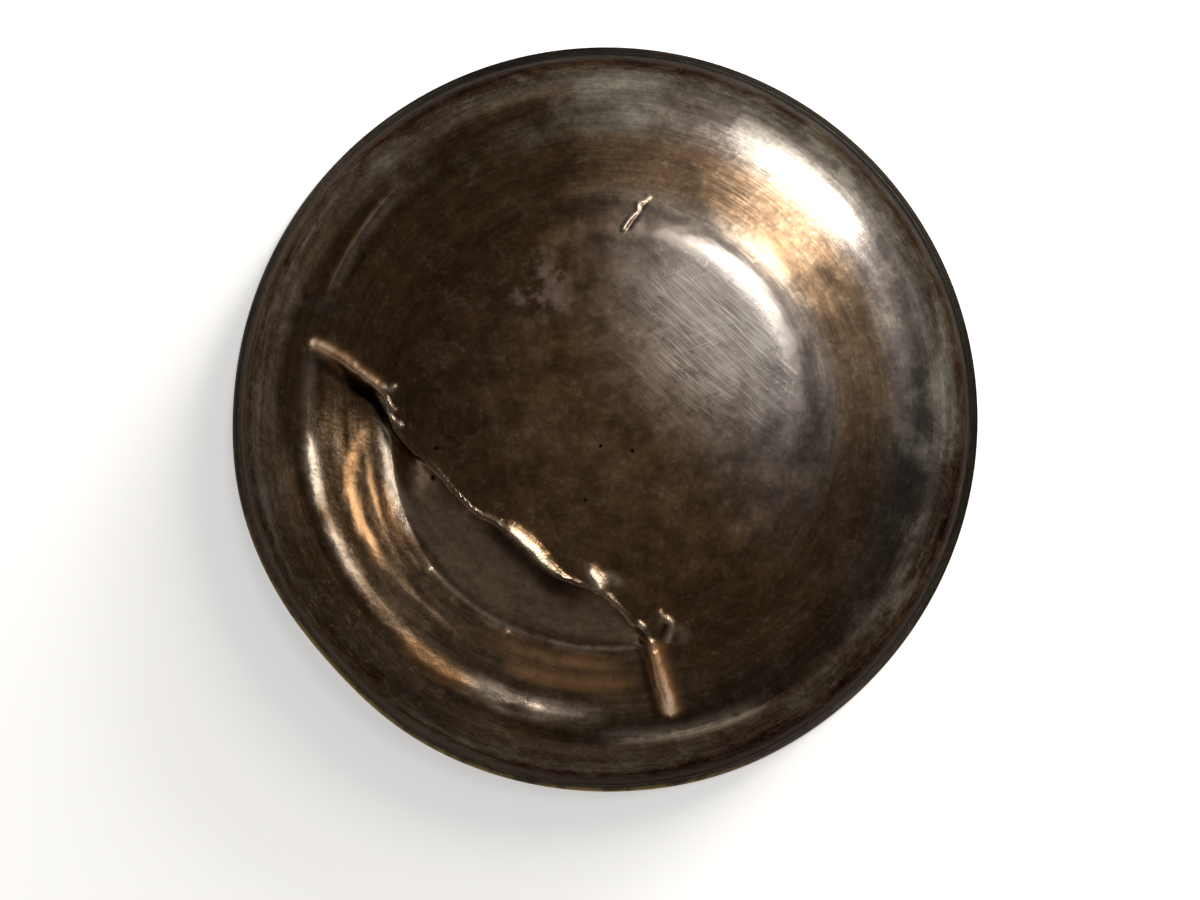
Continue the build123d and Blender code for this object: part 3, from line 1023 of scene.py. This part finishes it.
class TarnishedSheet(Finish):
    """Spun sheet under brown tarnish: cloudy, streaked round the bowl, scratched, rubbed pale on creases,
    with painted light and shade laid over it.
    """

    def __init__(self):
        super().__init__("tarnished_sheet")
        self.clouds = self.noise(self.place, *CLOUDS)
        self.mottle = self.noise(self.place, *MOTTLE)
        self.grain = self.noise(self.place, *GRAIN)
        self.waves = self.noise(self.place, *WAVES)
        self.flecks = self.noise(self.place, *FLECKS)
        self.wide_streaks = self.streaks(*WIDE_STREAKS)
        self.fine_streaks = self.streaks(*FINE_STREAKS)
        self.spun_share = self.ring(30.0, 44.0, 0.25, 1.0)
        self.wall = self.ring(59.0, 67.0)
        # Grey haze, thickest on the side towards the light: partly real haze, partly painted sheen
        self.haze = self.times(
            self.span(self.noise(self.place, *HAZE), 0.45, 0.66),
            self.ring(48.0, 58.0),
            self.facing(LIGHT_SIDE, -0.5, 0.6, 0.15, 0.75),
            self.ring(64.0, 71.0, 1.0, 0.15),
        )
        self.patch = self.times(self.spot(*POLISHED_SPOT), self.ring(36.0, 42.0, 1.0, 0.0))
        scored = 0.0
        for scratch in SCRATCHES:
            scored = self.sums("MAXIMUM", scored, self.scratches(*scratch))
        self.scored = self.times(scored, self.sums("MAXIMUM", self.patch, STRAY_SCRATCHES))

    def coat_side(self, side, turns, radii, strength, tone):
        """Lays a tone over one side of the bowl."""
        self.coat(self.times(self.facing(side, *turns), self.ring(*radii), strength), tone)

    def tarnish_base(self):
        """Brown, with painted shade on the side away from the light, darker in the west, and a painted sheen
        of cool grey towards the light.
        """
        self.colour = self.blend(self.span(self.clouds, 0.3, 0.7), BROWN, PALER_BROWN)
        for side_tone in SIDE_TONES:
            self.coat_side(*side_tone)

    def tarnish_wall(self):
        """Brown shoulder, darker wall with painted light and shade by its side to the light, the tone of the
        turn, and the lip painted dark towards the light and paler away from it.
        """
        self.coat(self.times(self.ring(41.0, 46.0), self.ring(52.0, 58.0, 1.0, 0.0), 0.8), SHOULDER_BROWN)
        # Painted light and shade: the wall's tone follows its side to the light
        self.coat(self.wall, self.blend(self.facing(LIGHT_SIDE, -0.2, 0.6), WALL_PAINTED_FAR_SIDE, WALL_PAINTED_LIT_SIDE))
        turn = self.blend(self.facing(NORTH_SIDE, 0.75, 1.0), TURN_GREY, TURN_NORTH)
        self.coat(self.ring(66.0, 68.8), turn)
        # Painted light on the lip: dark towards the light, paler away from it
        lip = self.blend(self.facing(LIGHT_SIDE, 0.5, -0.2), LIP_PAINTED_LIT_SIDE, LIP_PAINTED_FAR_SIDE)
        self.coat(self.ring(70.4, 72.4), lip)

    def stain(self):
        """Dark stain in the south-east, grey haze that is partly a painted sheen towards the light, painted
        shade in a dark band on the wall behind the dent, and a pink spot.
        """
        self.coat_side(*DARK_SIDE_STAIN)
        self.coat(self.haze, HAZE_AND_SHEEN_GREY)
        # Painted shade: a dark band on the outer wall behind the dent, which faces away from the light
        shade_behind_dent = self.times(self.ring(58.5, 61.0), self.ring(66.0, 69.0, 0.75, 0.0))
        self.coat(self.times(self.facing(DENT_SIDE, 0.84, 0.97), shade_behind_dent), DARK_STAIN_AND_SHADE)
        self.coat(self.times(self.spot(*PINK_SPOT), self.span(self.mottle, 0.45, 0.55)), PINK_STAIN)

    def bare(self):
        """Metal in the dent that has lost its tarnish, the lens's pale tone partly painted light."""
        gutter = self.blend(self.span(self.wide_streaks, 0.35, 0.65), BARED_GUTTER, BARED_STREAK)
        tone = self.blend(self.ring(41.0, 43.5, 1.0, 0.0), gutter, BARED_LENS_WITH_PAINTED_LIGHT)
        self.coat(self.times(self.attribute("bared"), 0.8), tone)

    def mark(self):
        """Pale wisps, then blotches, flecks, grain and streaks in the tone."""
        from_middle = self.sums("ABSOLUTE", self.sums("SUBTRACT", self.noise(self.place, *WISPS), 0.5))
        wisps = self.times(
            self.span(from_middle, 0.0, 0.035, 1.0, 0.0),
            self.span(self.flecks, 0.4, 0.65, 0.0, 0.35),
            self.ring(56.0, 64.0, 1.0, 0.3),
        )
        self.coat(wisps, WISP_GREY)
        streaks = self.plus(
            self.span(self.wide_streaks, 0.25, 0.75, -0.2, 0.2),
            self.span(self.fine_streaks, 0.25, 0.75, -0.17, 0.17),
        )
        tone = self.times(
            self.span(self.mottle, 0.25, 0.75, 0.8, 1.2),
            self.span(self.flecks, 0.25, 0.75, 0.82, 1.18),
            self.span(self.grain, 0.2, 0.8, 0.8, 1.2),
            self.plus(1.0, self.times(streaks, self.spun_share)),
        )
        self.shade(tone)

    def wear_and_painted_light(self):
        """The scratched patch with its painted sheen and glints, stains, painted shade at the steps, splits
        and pits, and gold and pale metal where it is rubbed, partly painted highlights.
        """
        # Polished patch, its pale tone partly a painted sheen of the lamps' reflection
        self.coat(self.times(self.patch, self.span(self.mottle, 0.35, 0.62, 0.35, 0.85)), POLISHED_AND_SHEEN)
        # Scratches painted pale where the lamps reflect: partly painted glints
        self.coat(self.times(self.scored, 0.9), SCRATCHED_AND_GLINTING)
        self.coat(self.times(self.attribute("coppery"), 0.6), COPPERY)
        # Painted shade at the dent's steps and in the splits
        self.coat(self.times(self.attribute("painted_shade"), 0.95), PAINTED_CREASE_SHADE)
        # Painted shade of the pits
        for x, y, half_width in PITS:
            self.coat(self.spot(x, y, half_width, PIT_SOFTNESS * half_width), PAINTED_PIT_SHADE)
        halves = [self.times(pattern, 0.5) for pattern in (self.mottle, self.flecks, self.wide_streaks)]
        speckle = self.plus(*halves)
        # Golden metal, partly painted warm highlights
        self.coat(self.times(self.attribute("golden"), self.span(speckle, 0.5, 0.85, 0.5, 1.0)), GOLDEN_AND_WARM_HIGHLIGHT)
        # Pale rubbed metal, partly painted highlights
        self.coat(self.times(self.attribute("rubbed"), self.span(speckle, 0.55, 0.85, 0.2, 1.0)), RUBBED_AND_HIGHLIGHT)

    def roughness(self):
        """Mottled polish, duller on the patch, the haze, the wall, the dent and the lip."""
        return self.plus(
            self.span(self.mottle, 0.2, 0.8, 0.15, 0.27),
            self.times(self.patch, self.ring(31.0, 37.0, 0.2, 0.04)),
            self.times(self.haze, 0.16),
            self.times(self.wall, 0.1),
            self.times(self.attribute("bared"), 0.07),
            self.times(self.attribute("creased"), 0.22),
            self.ring(69.0, 72.0, 0.0, 0.25),
        )

    def relief(self):
        """Spinning lines, grain, waves and scratches, with small dints where the sheet is creased."""
        dints = self.plus(self.times(self.flecks, 6.0), self.times(self.grain, 2.0))
        return self.plus(
            self.times(self.fine_streaks, self.spun_share, 0.5),
            self.times(self.grain, 0.06),
            self.times(self.waves, 0.45),
            self.times(self.scored, -0.1),
            self.times(self.attribute("creased"), dints),
        )


def tarnished_sheet():
    """The bowl's sheet, from its tarnish to the marks of use, and the painted light and shade laid over
    them.
    """
    sheet = TarnishedSheet()
    sheet.tarnish_base()
    sheet.tarnish_wall()
    sheet.stain()
    sheet.bare()
    sheet.mark()
    sheet.wear_and_painted_light()
    sheet.shader.inputs["Specular Tint"].default_value = GRAZING_TINT
    return sheet.done(sheet.roughness(), sheet.relief(), SHEET_RELIEF)


def worn_rim_wire():
    """Drawn wire: dark tarnish with painted shading by its side to the light, yellow where the lower left of
    the rim is rubbed.
    """
    wire = Finish("worn_rim_wire")
    mottle = wire.noise(wire.place, *WIRE_MOTTLE)
    drawn = wire.streaks(*DRAWN_LINES)
    wire.colour = wire.blend(wire.span(mottle, 0.3, 0.7), WIRE_BROWN, WIRE_PALER)
    # Painted shading: darker towards the light, paler away from it
    wire.shade(wire.facing(LIGHT_SIDE, *RIM_SHADE))
    wire.coat(wire.times(wire.facing(WORN_RIM_SIDE, 0.5, 0.95), wire.span(mottle, 0.32, 0.6)), WIRE_YELLOW)
    wire.shade(wire.span(drawn, 0.25, 0.75, 0.75, 1.25))
    wire.shader.inputs["Specular Tint"].default_value = GRAZING_TINT
    roughness = wire.span(mottle, 0.2, 0.8, 0.5, 0.7)
    return wire.done(roughness, wire.plus(wire.times(drawn, 0.5), mottle), WIRE_RELIEF)


def grey_solder():
    """Dull, lumpy hard solder, with painted shading by its side to the light."""
    solder = Finish("grey_solder")
    lumps = solder.noise(solder.place, *SOLDER_LUMPS)
    grain = solder.noise(solder.place, *SOLDER_GRAIN)
    solder.colour = solder.blend(solder.span(lumps, 0.3, 0.7), SOLDER_GREY, SOLDER_PALER)
    solder.shade(solder.span(grain, 0.2, 0.8, 0.75, 1.25))
    # Painted shading: darker towards the light, paler away from it
    solder.shade(solder.facing(LIGHT_SIDE, *RIM_SHADE))
    roughness = solder.span(grain, 0.2, 0.8, 0.45, 0.65)
    return solder.done(roughness, solder.plus(lumps, solder.times(grain, 0.3)), SOLDER_RELIEF)


def pale_floor():
    """The floor's finish, which also glows a little where it is seen or mirrored."""
    material = bpy.data.materials.new("pale_floor")
    material.use_nodes = True
    nodes, links = material.node_tree.nodes, material.node_tree.links
    shader = nodes["Principled BSDF"]
    shader.inputs["Base Color"].default_value = FLOOR_COLOUR
    shader.inputs["Roughness"].default_value = FLOOR_ROUGHNESS
    seen = nodes.new("ShaderNodeLightPath")
    total = None
    for ray in ("Is Camera Ray", "Is Glossy Ray", "Is Transmission Ray"):
        add = nodes.new("ShaderNodeMath")
        add.operation = "ADD"
        add.use_clamp = True
        add.inputs[1].default_value = 0.0
        links.new(seen.outputs[ray], add.inputs[0])
        if total:
            links.new(total, add.inputs[1])
        total = add.outputs[0]
    shown = nodes.new("ShaderNodeMath")
    shown.operation = "MULTIPLY"
    shown.inputs[1].default_value = FLOOR_GLOW
    links.new(total, shown.inputs[0])
    shader.inputs["Emission Color"].default_value = (1.0, 1.0, 1.0, 1.0)
    links.new(shown.outputs[0], shader.inputs["Emission Strength"])
    return material


def studio_floor():
    """Plain pale floor under the bowl."""
    bm = bmesh.new()
    bmesh.ops.create_grid(bm, x_segments=1, y_segments=1, size=FLOOR_HALF_SIZE)
    mesh = bpy.data.meshes.new("studio_floor")
    bm.to_mesh(mesh)
    bm.free()
    mesh.materials.append(pale_floor())
    floor = bpy.data.objects.new("studio_floor", mesh)
    floor.location.z = -FLOOR_DROP
    bpy.context.scene.collection.objects.link(floor)


def softbox(name, azimuth, from_zenith, distance, width, height, radiance, colour):
    """A rectangular lamp that faces the bowl, as bright as its radiance says."""
    lamp = bpy.data.lights.new(name, "AREA")
    lamp.shape = "RECTANGLE"
    lamp.size = width
    lamp.size_y = height
    lamp.energy = radiance * math.pi * width * height
    lamp.color = colour
    box = bpy.data.objects.new(name, lamp)
    azimuth, from_zenith = math.radians(azimuth), math.radians(from_zenith)
    aside = math.sin(from_zenith)
    towards = Vector((aside * math.cos(azimuth), aside * math.sin(azimuth), math.cos(from_zenith)))
    box.location = towards * distance
    box.rotation_euler = towards.to_track_quat("Z", "Y").to_euler()
    bpy.context.scene.collection.objects.link(box)


def studio_light():
    """Dim, even surroundings and softboxes on the upper right."""
    for box in SOFTBOXES:
        softbox(*box)
    world = bpy.data.worlds.new("studio_world")
    world.use_nodes = True
    background = world.node_tree.nodes["Background"]
    background.inputs["Color"].default_value = SURROUNDINGS
    background.inputs["Strength"].default_value = SURROUNDINGS_STRENGTH
    bpy.context.scene.world = world


def camera():
    """Straight above the base, as the photo was taken."""
    data = bpy.data.cameras.new("camera")
    data.lens = CAMERA_LENS
    view = bpy.data.objects.new("camera", data)
    view.location = CAMERA_PLACE
    bpy.context.scene.collection.objects.link(view)
    bpy.context.scene.camera = view


bowl_shell(tarnished_sheet())
rim_wire(worn_rim_wire())
rim_solder(grey_solder())
studio_floor()
studio_light()
camera()
bpy.context.scene.view_settings.view_transform = "Standard"
